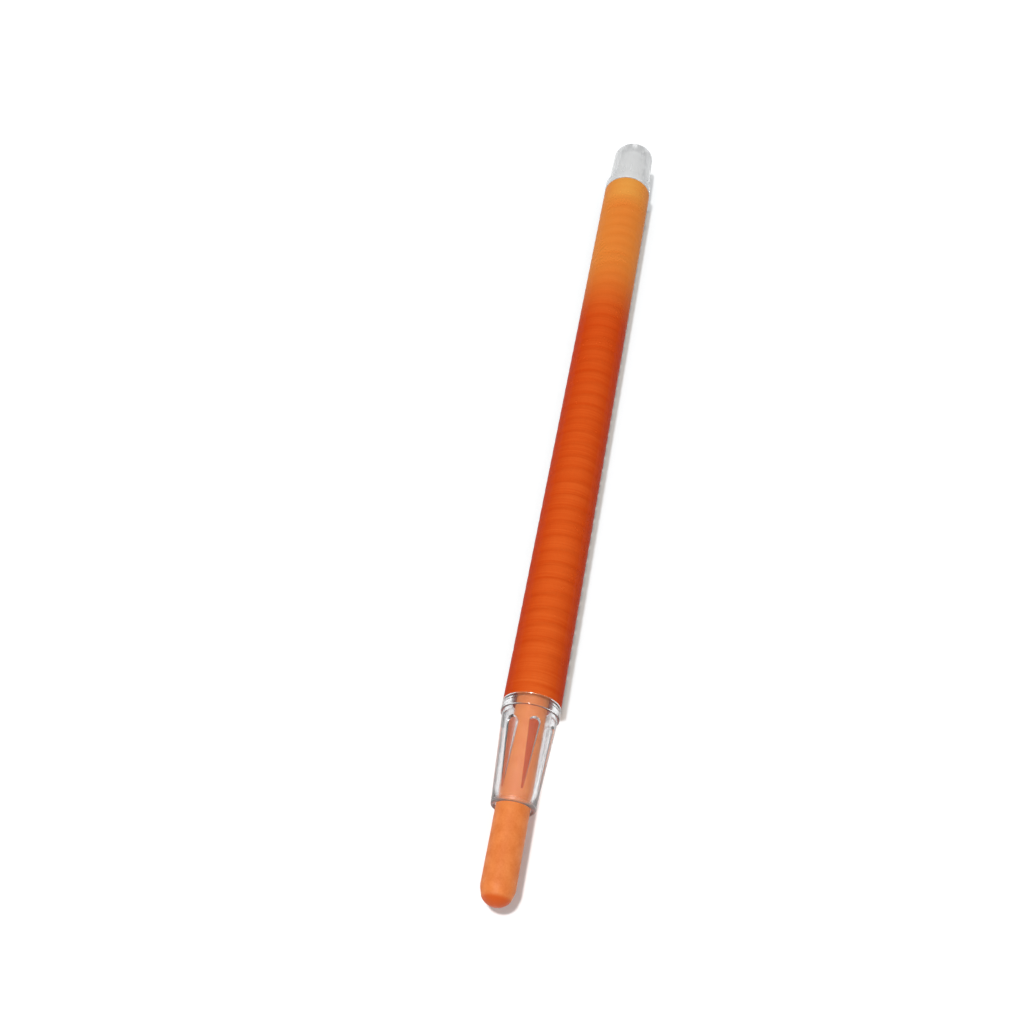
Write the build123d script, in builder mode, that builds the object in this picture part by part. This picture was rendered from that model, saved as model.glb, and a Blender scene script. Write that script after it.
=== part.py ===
"""Twist crayon lying on its side, the tip towards +X and the knob towards -X."""

import os
from math import asin, cos, floor, radians, sin, sqrt

from build123d import *

# Crayon stick
stick_diameter = 5.1
stick_extension = 14.3
tip_length = 2.5
tip_rounding = 3.0
crown_length = 1.1
crown_diameter = 4.16
crown_rounding = 0.35
tail_length = 6.5

# Holder that carries the crayon
holder_step = 0.07
holder_wall = 0.47
holder_floor = 1.2
first_lug_offset = 1.6
lug_rows = 2
lug_width = 1.3
lug_length = 1.5
lug_rounding = 0.3

# Guide tube with its two slots, its snap collar and its square tail
guide_wall = 0.45
guide_ring_length = 3.6
slot_margin = 1.5
snap_collar_length = 7.0
snap_bead_position = 5.0
snap_bead_length = 1.0
snap_bead_height = 0.22
square_tail_side = 4.7
square_tail_length = 9.3
square_tail_corner = 0.35
square_tail_bore = 3.2
tail_end_wall = 1.0

# Spiral ridge in the barrel
thread_pitch = 2.8
thread_depth = 0.55
thread_crest = 0.5
thread_base = 0.9
thread_embed = 0.15
turns_out = 6

# Barrel
barrel_length = 118.9
barrel_wall_nose = 0.65
barrel_wall_knob = 0.8
barrel_rounding = 0.2

# Nose
nose_length = 16.7
nose_collar_length = 2.0
nose_collar_step = 0.03
nose_shoulder_step = 0.25
nose_lip_wall = 0.6
nose_lip_rounding = 0.45
nose_mouth_land = 2.2
nose_wall = 0.78
nose_rounding = 0.18
rib_count = 6
rib_start_angle = -18
rib_crest_rear = 1.35
rib_crest_front = 0.3
rib_flare = 0.6
rib_setback = 1.5
spigot_length = 6.0
spigot_overlap = 2.5
barb_count = 5
barb_pitch = 0.8
barb_height = 0.18

# Knob
knob_end_wall = 2.8
flange_length = 2.0
flange_step = 0.05
flange_rounding = 0.25
knob_shoulder_step = 0.5
knob_draft = 0.2
knob_rounding = 0.8
pocket_count = 8
pocket_circle = 5.2
pocket_side = 0.9
pocket_depth = 1.6

# Clearances
slide_clearance = 0.10
turn_clearance = 0.13
lug_clearance = 0.12
slot_clearance = 0.15
collar_clearance = 0.10
bead_clearance = 0.13
bead_end_play = 0.30
mouth_clearance = 0.15
rib_clearance = 0.17
spigot_clearance = 0.10
barb_clearance = 0.02
tail_clearance = 0.02
end_gap = 0.15
thread_end_gap = 0.30

# Radii, from the crayon outwards
stick_radius = stick_diameter / 2
crown_radius = crown_diameter / 2
crown_ball = (crown_radius**2 + crown_length**2) / (2 * crown_length)
holder_radius = stick_radius + holder_step
tail_radius = holder_radius - holder_wall
guide_bore = holder_radius + slide_clearance
guide_radius = guide_bore + guide_wall
crest_radius = guide_radius + turn_clearance
root_radius = crest_radius + thread_depth
lug_radius = root_radius - lug_clearance
barrel_radius_nose = root_radius + barrel_wall_nose
barrel_radius_knob = root_radius + barrel_wall_knob
snap_collar_radius = root_radius - collar_clearance
snap_bead_radius = snap_collar_radius + snap_bead_height
snap_groove_radius = snap_bead_radius + bead_clearance
nose_collar_radius = barrel_radius_nose + nose_collar_step
nose_rear_radius = nose_collar_radius - nose_shoulder_step
nose_bore_rear = nose_rear_radius - nose_wall
mouth_bore = stick_radius + mouth_clearance
nose_mouth_radius = mouth_bore + nose_lip_wall
rib_radius = stick_radius + rib_clearance
rib_root_rear = nose_bore_rear + nose_wall / 3
rib_root_front = mouth_bore + nose_lip_wall / 2
spigot_bore = guide_radius + spigot_clearance
barb_radius = root_radius - barb_clearance
spigot_radius = barb_radius - barb_height
flange_radius = barrel_radius_knob + flange_step
knob_front_radius = flange_radius - knob_shoulder_step
knob_rear_radius = knob_front_radius - knob_draft
slot_width = lug_width + 2 * slot_clearance
socket_side = square_tail_side + 2 * tail_clearance
axis_height = flange_radius

# Stations along the crayon, from the knob to the tip
knob_length = square_tail_length + knob_end_wall
knob_end = -(knob_length + end_gap + barrel_length + nose_length + stick_extension) / 2
knob_face = knob_end + knob_length
barrel_rear = knob_face + end_gap
barrel_front = barrel_rear + barrel_length
mouth = barrel_front + nose_length
tip = mouth + stick_extension
snap_collar_front = barrel_rear + snap_collar_length
bead_centre = barrel_rear + snap_bead_position
spigot_rear = barrel_front - spigot_length
guide_front = spigot_rear + spigot_overlap
slot_rear = snap_collar_front + slot_margin
slot_front = guide_front - guide_ring_length
holder_rear = slot_rear + turns_out * thread_pitch
cup_floor = holder_rear + holder_floor
cup_rim = cup_floor + tail_length
first_lug = holder_rear + first_lug_offset
thread_rear_limit = snap_collar_front + thread_base / 2 + thread_end_gap
turns_behind_lug = floor((first_lug - thread_rear_limit) / thread_pitch - 0.5)
thread_rear = first_lug - (turns_behind_lug + 0.5) * thread_pitch
thread_front = spigot_rear - thread_base / 2 - thread_end_gap
nose_collar_front = barrel_front + nose_collar_length
nose_bore_front = mouth - nose_mouth_land
rib_rear = nose_collar_front + rib_setback
tail_end = knob_face - square_tail_length
flange_rear = knob_face - flange_length

crayon_axis = Axis((0, 0, axis_height), (1, 0, 0))


def lengthwise_plane(angle):
    """Plane through the crayon's axis, its y turned from straight up by an angle."""
    normal = (0, -cos(angle), -sin(angle))
    return Plane(origin=(0, 0, axis_height), x_dir=(1, 0, 0), z_dir=normal)


def cross_plane(station, angle=0):
    """Plane across the crayon at a station, its y turned from straight up by an angle."""
    across = (0, cos(angle), sin(angle))
    return Plane(origin=(station, 0, axis_height), x_dir=across, z_dir=(1, 0, 0))


def turned(points, mode=Mode.ADD):
    """Turn a closed outline of (station, radius) points about the crayon's axis."""
    with BuildSketch(lengthwise_plane(0)) as outline:
        with BuildLine():
            Polyline(*points, close=True)
        make_face()
    revolve(outline.sketch, axis=crayon_axis, mode=mode)


def rims(builder, station):
    """Round edges of a part at a station, the smallest first."""
    edges = builder.edges().filter_by(GeomType.CIRCLE)
    return edges.filter_by_position(Axis.X, station, station).sort_by(SortBy.RADIUS)


# Barrel: drafted tube, its bore smooth at both ends, with the spiral ridge between
with BuildPart() as barrel:
    turned(
        [
            (barrel_rear, root_radius),
            (barrel_rear, barrel_radius_knob),
            (barrel_front, barrel_radius_nose),
            (barrel_front, root_radius),
        ]
    )
    fillet([rims(barrel, barrel_rear)[-1], rims(barrel, barrel_front)[-1]], barrel_rounding)
    groove_half = (snap_bead_length + bead_end_play) / 2
    turned(
        [
            (bead_centre - groove_half, crest_radius),
            (bead_centre - groove_half, snap_groove_radius),
            (bead_centre + groove_half, snap_groove_radius),
            (bead_centre + groove_half, crest_radius),
        ],
        mode=Mode.SUBTRACT,
    )
    thread_foot = thread_base + (thread_base - thread_crest) * thread_embed / thread_depth
    with BuildLine() as thread_path:
        Helix(
            pitch=thread_pitch,
            height=thread_front - thread_rear,
            radius=root_radius,
            center=(thread_rear, 0, axis_height),
            direction=(1, 0, 0),
        )
    with BuildSketch(
        Plane(origin=thread_path.line @ 0, x_dir=(0, 0, 1), z_dir=thread_path.line % 0)
    ):
        with BuildLine():
            Polyline(
                (thread_embed, -thread_foot / 2),
                (-thread_depth, -thread_crest / 2),
                (-thread_depth, thread_crest / 2),
                (thread_embed, thread_foot / 2),
                close=True,
            )
        make_face()
    sweep(path=thread_path.line, is_frenet=True)

# Nose: barbed spigot in the barrel, collar, tapering body and guide ribs inside
with BuildPart() as nose_cone:
    barb_points = []
    first_barb = barrel_front - (spigot_length + barb_count * barb_pitch) / 2
    for barb in range(barb_count):
        barb_station = first_barb + barb * barb_pitch
        barb_points.append((barb_station, spigot_radius))
        barb_points.append((barb_station + 0.75 * barb_pitch, barb_radius))
    barb_points.append((first_barb + barb_count * barb_pitch, spigot_radius))
    turned(
        [
            (spigot_rear, spigot_bore),
            (spigot_rear, spigot_radius),
            *barb_points,
            (barrel_front, spigot_radius),
            (barrel_front, nose_collar_radius),
            (nose_collar_front, nose_collar_radius),
            (nose_collar_front, nose_rear_radius),
            (mouth, nose_mouth_radius),
            (mouth, mouth_bore),
            (nose_bore_front, mouth_bore),
            (nose_collar_front, nose_bore_rear),
            (barrel_front, spigot_bore),
        ]
    )
    fillet(rims(nose_cone, mouth)[-1], nose_lip_rounding)
    fillet([rims(nose_cone, barrel_front)[-1], rims(nose_cone, nose_collar_front)[-1]], nose_rounding)
    rib_ends = (
        (rib_rear, rib_root_rear, rib_crest_rear),
        (nose_bore_front, rib_root_front, rib_crest_front),
    )
    for rib in range(rib_count):
        rib_angle = radians(rib_start_angle + rib * 360 / rib_count)
        for station, root, crest in rib_ends:
            foot = crest + rib_flare * (root - rib_radius)
            with BuildSketch(cross_plane(station, rib_angle)):
                with BuildLine():
                    Polyline(
                        (-crest / 2, rib_radius),
                        (crest / 2, rib_radius),
                        (foot / 2, root),
                        (-foot / 2, root),
                        close=True,
                    )
                make_face()
        loft(ruled=True)

# Crayon: wax stick with a round tip and a thinner tail in the holder's cup
with BuildPart() as crayon_stick:
    with BuildSketch(lengthwise_plane(0)):
        with BuildLine():
            Polyline(
                (tip, 0),
                (cup_floor, 0),
                (cup_floor, tail_radius),
                (cup_rim, tail_radius),
                (cup_rim, stick_radius),
                (tip - tip_length, stick_radius),
                (tip - crown_length, crown_radius),
            )
            half_edge = asin(crown_radius / crown_ball) / 2
            ThreePointArc(
                (tip - crown_length, crown_radius),
                (tip - crown_ball * (1 - cos(half_edge)), crown_ball * sin(half_edge)),
                (tip, 0),
            )
        make_face()
    revolve(axis=crayon_axis)
    fillet(rims(crayon_stick, tip - tip_length)[-1], tip_rounding)
    fillet(rims(crayon_stick, tip - crown_length)[-1], crown_rounding)

# Holder: cup for the crayon's tail, with lugs that follow the spiral of the barrel
with BuildPart() as crayon_holder:
    turned(
        [
            (holder_rear, 0),
            (holder_rear, holder_radius),
            (cup_rim, holder_radius),
            (cup_rim, tail_radius),
            (cup_floor, tail_radius),
            (cup_floor, 0),
        ]
    )
    lug_foot = holder_radius - holder_wall / 2
    lug_top = sqrt(lug_radius**2 - (lug_width / 2) ** 2)
    for row in range(lug_rows):
        lug_station = first_lug + row * thread_pitch
        with BuildSketch(Plane.XY.offset(axis_height + lug_foot)):
            with Locations((lug_station, 0)):
                RectangleRounded(lug_length, lug_width, lug_rounding)
        extrude(amount=lug_top - lug_foot)
        with BuildSketch(Plane.XY.offset(axis_height - lug_foot)):
            with Locations((lug_station + thread_pitch / 2, 0)):
                RectangleRounded(lug_length, lug_width, lug_rounding)
        extrude(amount=lug_foot - lug_top)

# Guide tube: slotted tube, snap collar in the barrel's rear bore and square tail in the knob
with BuildPart() as guide_tube:
    with BuildSketch(cross_plane(tail_end)):
        RectangleRounded(square_tail_side, square_tail_side, square_tail_corner)
    extrude(amount=square_tail_length)
    turned(
        [
            (knob_face, 0),
            (knob_face, snap_collar_radius),
            (bead_centre - snap_bead_length / 2, snap_collar_radius),
            (bead_centre - snap_bead_length / 4, snap_bead_radius),
            (bead_centre + snap_bead_length / 4, snap_bead_radius),
            (bead_centre + snap_bead_length / 2, snap_collar_radius),
            (snap_collar_front, snap_collar_radius),
            (snap_collar_front, guide_radius),
            (guide_front, guide_radius),
            (guide_front, 0),
        ]
    )
    turned(
        [
            (snap_collar_front, 0),
            (snap_collar_front, guide_bore),
            (guide_front, guide_bore),
            (guide_front, 0),
        ],
        mode=Mode.SUBTRACT,
    )
    with BuildSketch(cross_plane(tail_end + tail_end_wall)):
        Circle(square_tail_bore / 2)
    extrude(amount=snap_collar_front - tail_end - tail_end_wall, mode=Mode.SUBTRACT)
    with BuildSketch(cross_plane(slot_rear)):
        Rectangle(slot_width, 2 * (guide_radius + guide_wall))
    extrude(amount=slot_front - slot_rear, mode=Mode.SUBTRACT)

# Knob: flanged grip with a square socket for the tail and small pockets in its end
with BuildPart() as twist_knob:
    turned(
        [
            (knob_end, 0),
            (knob_end, knob_rear_radius),
            (flange_rear, knob_front_radius),
            (flange_rear, flange_radius),
            (knob_face, flange_radius),
            (knob_face, 0),
        ]
    )
    fillet(rims(twist_knob, knob_end)[-1], knob_rounding)
    fillet([rims(twist_knob, flange_rear)[-1], rims(twist_knob, knob_face)[-1]], flange_rounding)
    with BuildSketch(cross_plane(tail_end)):
        RectangleRounded(socket_side, socket_side, square_tail_corner)
    extrude(amount=square_tail_length, mode=Mode.SUBTRACT)
    with BuildSketch(cross_plane(knob_end)):
        with PolarLocations(pocket_circle / 2, pocket_count):
            Rectangle(pocket_side, pocket_side)
    extrude(amount=pocket_depth, mode=Mode.SUBTRACT)

os.makedirs("parts", exist_ok=True)
pieces = {
    "barrel": barrel,
    "nose_cone": nose_cone,
    "crayon_stick": crayon_stick,
    "crayon_holder": crayon_holder,
    "guide_tube": guide_tube,
    "twist_knob": twist_knob,
}
for name, piece in pieces.items():
    piece.part.label = name
    export_step(piece.part, f"parts/{name}.step")
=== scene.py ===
"""Looks of the twist crayon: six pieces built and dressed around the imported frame, in metres."""

import logging
import math
from dataclasses import dataclass
from enum import Enum
from typing import Optional, Sequence, Union

import bmesh
import bpy
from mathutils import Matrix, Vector


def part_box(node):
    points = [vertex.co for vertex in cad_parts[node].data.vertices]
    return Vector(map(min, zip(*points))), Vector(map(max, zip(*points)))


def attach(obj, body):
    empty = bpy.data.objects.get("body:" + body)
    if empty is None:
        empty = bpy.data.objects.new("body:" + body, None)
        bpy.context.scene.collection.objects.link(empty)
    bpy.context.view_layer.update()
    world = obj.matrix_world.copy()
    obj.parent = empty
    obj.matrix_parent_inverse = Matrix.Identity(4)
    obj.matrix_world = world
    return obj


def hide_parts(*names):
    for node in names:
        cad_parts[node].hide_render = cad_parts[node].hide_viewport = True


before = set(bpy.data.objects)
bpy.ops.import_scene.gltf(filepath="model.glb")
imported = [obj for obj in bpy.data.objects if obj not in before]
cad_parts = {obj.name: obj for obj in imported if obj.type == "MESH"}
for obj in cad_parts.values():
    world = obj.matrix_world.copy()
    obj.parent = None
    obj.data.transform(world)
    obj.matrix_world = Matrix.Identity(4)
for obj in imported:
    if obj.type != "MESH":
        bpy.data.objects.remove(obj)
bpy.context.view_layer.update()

MM = 0.001
AXIS_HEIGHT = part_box("twist_knob")[1].z / 2
TURN = 2 * math.pi
ARC_STEPS = 6

log = logging.getLogger("twist_crayon")

Point = tuple[float, float]
Colour = tuple[float, float, float]
Wire = bpy.types.NodeSocket
Feed = Union[Wire, float, int, bool, str, Sequence[float], bpy.types.ID]
Tint = Union[Wire, Colour]
UNIT: Point = (0.0, 1.0)


class Body(Enum):
    """Bodies of the frame that the pieces ride on."""

    BARREL = "barrel_body"
    KNOB = "knob_body"
    CARRIAGE = "carriage"


class Slot(Enum):
    """Material slots of the record."""

    BARREL = "barrel"
    NOSE = "nose"
    KNOB = "knob"
    GUIDE = "guide"
    HOLDER = "holder"
    WAX = "wax"


class Fit(Enum):
    """What tools set round a piece do to it."""

    JOIN = False
    CARVE = True


class Tree(Enum):
    """Kinds of node groups."""

    SHADER = "ShaderNodeTree"
    GEOMETRY = "GeometryNodeTree"


class Socket(Enum):
    """Kinds of sockets on a node group."""

    FLOAT = "NodeSocketFloat"
    INT = "NodeSocketInt"
    BOOL = "NodeSocketBool"
    VECTOR = "NodeSocketVector"
    GEOMETRY = "NodeSocketGeometry"
    OBJECT = "NodeSocketObject"
    MATERIAL = "NodeSocketMaterial"


def opaque(colour: Colour) -> tuple[float, float, float, float]:
    """Give a colour its full alpha."""
    return (*colour, 1.0)


class Graph:
    """Writer for one node tree: adds nodes, sets their inputs and links them."""

    def __init__(self, tree: bpy.types.NodeTree) -> None:
        """Keep the tree that is written to."""
        self.tree = tree

    def feed(self, socket: Wire, value: Feed) -> None:
        """Link a socket to another one, or set its plain value.

        Args:
            socket: The input that is fed.
            value: An output socket, or a plain value.
        """
        if isinstance(value, Wire):
            self.tree.links.new(value, socket)
        else:
            socket.default_value = value

    def node(self, kind: str, feeds: Optional[dict] = None, **settings: object) -> bpy.types.Node:
        """Add a node.

        Args:
            kind: The node's type name.
            feeds: What goes into its inputs, by name or place.
            **settings: The node's own properties.

        Returns:
            The new node.
        """
        made = self.tree.nodes.new(kind)
        for name, value in settings.items():
            setattr(made, name, value)
        for name, value in (feeds or {}).items():
            self.feed(made.inputs[name], value)
        return made

    def math(self, operation: str, *terms: Feed, use_clamp: bool = False) -> Wire:
        """Add a sum of one operation on some terms, kept within 0..1 if it is clamped."""
        feeds = dict(enumerate(terms))
        return self.node("ShaderNodeMath", feeds, operation=operation, use_clamp=use_clamp).outputs[0]

    def blend(self, share: Feed, first: Tint, second: Tint) -> Wire:
        """Mix two colours.

        Args:
            share: Share of the second colour.
            first: The first colour.
            second: The second colour.

        Returns:
            The mixed colour's socket.
        """
        mix = self.node("ShaderNodeMix", {0: share}, data_type="RGBA")
        for place, colour in ((6, first), (7, second)):
            self.feed(mix.inputs[place], colour if isinstance(colour, Wire) else opaque(colour))
        return mix.outputs[2]

    def remap(self, value: Feed, source: Point, target: Point = UNIT, **settings: str) -> Wire:
        """Carry a value from one range to another and keep it there.

        Args:
            value: The value's socket.
            source: Range of the value.
            target: Range of the result.
            **settings: The node's own properties.

        Returns:
            The result's socket.
        """
        feeds = {"Value": value, "From Min": source[0], "From Max": source[1]}
        feeds.update({"To Min": target[0], "To Max": target[1]})
        return self.node("ShaderNodeMapRange", feeds, **settings).outputs["Result"]

    def noise(self, place: Feed, scale: Feed, detail: float) -> Wire:
        """Add a cloudy noise, read at a place, with a number of finer layers."""
        feeds = {"Vector": place, "Scale": scale, "Detail": detail}
        return self.node("ShaderNodeTexNoise", feeds).outputs["Fac"]

    def stretch(self, place: Feed, factors: Feed) -> Wire:
        """Multiply coordinates by factors."""
        return self.node("ShaderNodeVectorMath", {0: place, 1: factors}, operation="MULTIPLY").outputs[0]


def new_tree(name: str, kind: Tree, inputs: dict[str, Socket], outputs: dict[str, Socket]) -> Graph:
    """Start a node group with named sockets.

    Args:
        name: The group's name.
        kind: Its kind.
        inputs: Kind of each input, by name.
        outputs: Kind of each output, by name.

    Returns:
        A writer for the new tree.
    """
    tree = bpy.data.node_groups.new(name, kind.value)
    for way, sockets in (("INPUT", inputs), ("OUTPUT", outputs)):
        for label, socket in sockets.items():
            tree.interface.new_socket(label, in_out=way, socket_type=socket.value)
    return Graph(tree)


class Effects:
    """Surface effects that several finishes share, as shader node groups."""

    RING_RANGE = (0.3, 0.7)
    SCRATCH_STRETCH = (0.04, 1.0, 1.0)
    SCRATCH_RANGE = (0.62, 0.72)
    SCRATCH_SHARE = 0.35
    GRAIN_SHARE = 0.4
    MOTTLE_RANGE = (0.45, 0.95)

    def __init__(self) -> None:
        """Build each group once."""
        self.turning = self._turning_marks()
        self.handling = self._handling_haze()
        self.mottle = self._mottle()
        self.spiral = self._spiral_band()

    @staticmethod
    def _start(name: str, sizes: Sequence[str], result: str) -> Graph:
        """Start an effect's group, with sizes beside the coordinates and one result."""
        inputs = {"Vector": Socket.VECTOR, **dict.fromkeys(sizes, Socket.FLOAT)}
        return new_tree(name, Tree.SHADER, inputs, {result: Socket.FLOAT})

    def _turning_marks(self) -> bpy.types.NodeTree:
        """Fine rings round the crayon's axis, from a noise squeezed along it.

        Returns:
            A group that puts out Height.
        """
        graph = self._start("turning_marks", ["Rings", "Drift"], "Height")
        entry = graph.node("NodeGroupInput").outputs
        squeeze = graph.node("ShaderNodeCombineXYZ", {0: entry["Rings"]})
        for across in (1, 2):
            graph.feed(squeeze.inputs[across], entry["Drift"])
        marks = graph.noise(graph.stretch(entry["Vector"], squeeze.outputs[0]), 1.0, detail=2.0)
        graph.node("NodeGroupOutput", {"Height": graph.remap(marks, self.RING_RANGE)})
        return graph.tree

    def _handling_haze(self) -> bpy.types.NodeTree:
        """Rubbed patches and hairline scratches along the crayon.

        Returns:
            A group that puts out Haze, from clean at 0 to rubbed at 1.
        """
        graph = self._start("handling_haze", ["Patches", "Scratches"], "Haze")
        entry = graph.node("NodeGroupInput").outputs
        patches = graph.noise(entry["Vector"], entry["Patches"], detail=3.0)
        along = graph.stretch(entry["Vector"], self.SCRATCH_STRETCH)
        hairlines = graph.remap(graph.noise(along, entry["Scratches"], detail=1.0), self.SCRATCH_RANGE)
        both = graph.math("MULTIPLY_ADD", hairlines, self.SCRATCH_SHARE, patches)
        graph.node("NodeGroupOutput", {"Haze": graph.math("MINIMUM", both, 1.0)})
        return graph.tree

    def _mottle(self) -> bpy.types.NodeTree:
        """Cloudy colour variation of two sizes.

        Returns:
            A group that puts out Mask, from 0 to 1.
        """
        graph = self._start("mottle", ["Clouds", "Grains"], "Mask")
        entry = graph.node("NodeGroupInput").outputs
        clouds = graph.noise(entry["Vector"], entry["Clouds"], detail=4.0)
        grains = graph.noise(entry["Vector"], entry["Grains"], detail=2.0)
        joined = graph.math("MULTIPLY_ADD", grains, self.GRAIN_SHARE, clouds)
        graph.node("NodeGroupOutput", {"Mask": graph.remap(joined, self.MOTTLE_RANGE)})
        return graph.tree

    def _spiral_band(self) -> bpy.types.NodeTree:
        """Soft band that winds round the crayon's axis.

        Returns:
            A group that puts out Mask, 1 on the band's middle.
        """
        graph = self._start("spiral_band", ["Axis Height", "Lead", "Start"], "Mask")
        entry = graph.node("NodeGroupInput").outputs
        place = graph.node("ShaderNodeSeparateXYZ", {0: entry["Vector"]}).outputs
        up = graph.math("SUBTRACT", place[2], entry["Axis Height"])
        angle = graph.math("ARCTAN2", graph.math("MULTIPLY", place[1], -1.0), up)
        travel = graph.math("DIVIDE", graph.math("SUBTRACT", place[0], entry["Start"]), entry["Lead"])
        phase = graph.math("SUBTRACT", graph.math("MULTIPLY", travel, TURN), angle)
        wave = graph.math("MULTIPLY_ADD", graph.math("COSINE", phase), 0.5, 0.5)
        graph.node("NodeGroupOutput", {"Mask": graph.math("POWER", wave, 2.0)})
        return graph.tree


class Coating:
    """One material being written: its tree, its shader and its surface coordinates."""

    OUTLINE_SHADE_BLEND = 0.75

    def __init__(self, name: str, shader: dict[str, Feed]) -> None:
        """Start a material.

        Args:
            name: The material's name.
            shader: Plain values on the shader's own sockets.
        """
        self.material = bpy.data.materials.new(name)
        self.material.use_nodes = True
        self.material.node_tree.nodes.clear()
        self.graph = Graph(self.material.node_tree)
        self.place = self.graph.node("ShaderNodeTexCoord").outputs["Object"]
        self.shader = self.graph.node("ShaderNodeBsdfPrincipled", shader)
        self.output = self.graph.node("ShaderNodeOutputMaterial", {"Surface": self.shader.outputs[0]})

    def effect(self, group: bpy.types.NodeTree, **values: float) -> Wire:
        """Place a shared effect.

        Args:
            group: The effect's node group.
            **values: Its inputs.

        Returns:
            The effect's only output.
        """
        feeds = {name.replace("_", " "): value for name, value in values.items()}
        feeds["Vector"] = self.place
        return self.graph.node("ShaderNodeGroup", feeds, node_tree=group).outputs[0]

    def paint(self, socket: str, value: Feed) -> None:
        """Feed one of the shader's sockets."""
        self.graph.feed(self.shader.inputs[socket], value)

    def relief(self, height: Feed, depth: float) -> None:
        """Raise the surface by a height map from 0 to 1, to a depth in metres."""
        bump = self.graph.node("ShaderNodeBump", {"Height": height, "Strength": 1.0, "Distance": depth})
        self.paint("Normal", bump.outputs[0])

    def along(self, start: float, end: float) -> Wire:
        """Grow a mask along the crayon, from 0 at a start to 1 at an end."""
        station = self.graph.node("ShaderNodeSeparateXYZ", {0: self.place}).outputs[0]
        return self.graph.remap(station, (start, end), interpolation_type="SMOOTHSTEP")

    def paint_outline_shade(self, body: Tint, edge: Tint) -> None:
        """Colour the piece: its body seen straight on, and painted shade, a deeper colour, along its
        outline.
        """
        facing = self.graph.node("ShaderNodeLayerWeight", {"Blend": self.OUTLINE_SHADE_BLEND}).outputs["Facing"]
        self.paint("Base Color", self.graph.blend(facing, body, edge))

    def let_light_in(self, tint: Colour) -> None:
        """Let light from lamps, sky and floor through the piece, so that what it holds is lit.

        Args:
            tint: What is left of the light behind one surface.
        """
        path = self.graph.node("ShaderNodeLightPath").outputs
        lighting = self.graph.math("MAXIMUM", path["Is Shadow Ray"], path["Is Diffuse Ray"])
        clear = self.graph.node("ShaderNodeBsdfTransparent", {"Color": opaque(tint)}).outputs[0]
        mix = self.graph.node("ShaderNodeMixShader", {0: lighting, 1: self.shader.outputs[0], 2: clear})
        self.graph.feed(self.output.inputs["Surface"], mix.outputs[0])


@dataclass(frozen=True)
class ClearPlastic:
    """Water-clear moulded plastic with rubbed patches and faint flow lines."""

    name: str
    pale: Colour = (1.0, 1.0, 1.0)
    deep: Colour = (0.97, 0.975, 0.98)
    # painted shade: greyer colour towards the outline, where the surface turns away from view
    edge: Colour = (0.79, 0.795, 0.81)
    cloudiness: float = 0.01
    refraction: float = 1.53
    roughness: Point = (0.05, 0.18)
    flow_depth: float = 0.0016 * MM
    light_left: Colour = (1.0, 1.0, 1.0)

    def body(self, coat: Coating, effects: Effects) -> Wire:
        """Colour of the plastic seen straight on."""
        clouds = coat.effect(effects.mottle, Clouds=180.0, Grains=900.0)
        return coat.graph.blend(clouds, self.pale, self.deep)

    def dullness(self, coat: Coating, effects: Effects) -> Wire:
        """Roughness of the plastic, higher where it is rubbed."""
        haze = coat.effect(effects.handling, Patches=260.0, Scratches=2600.0)
        return coat.graph.remap(haze, UNIT, self.roughness)

    def material(self, effects: Effects) -> bpy.types.Material:
        """Write the material.

        Args:
            effects: Shared surface effects.

        Returns:
            The finished material.
        """
        coat = Coating(self.name, {"IOR": self.refraction, "Transmission Weight": 1.0 - self.cloudiness})
        # body colour, with painted shade along the outline
        coat.paint_outline_shade(self.body(coat, effects), self.edge)
        coat.paint("Roughness", self.dullness(coat, effects))
        coat.relief(coat.effect(effects.turning, Rings=900.0, Drift=120.0), self.flow_depth)
        coat.let_light_in(self.light_left)
        return coat.material


@dataclass(frozen=True)
class RibCrests:
    """Where the crests of the nose's ribs lie."""

    count: int
    first_turn: float
    radius: float
    rear: float
    front: float
    width_rear: float
    width_front: float


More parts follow.
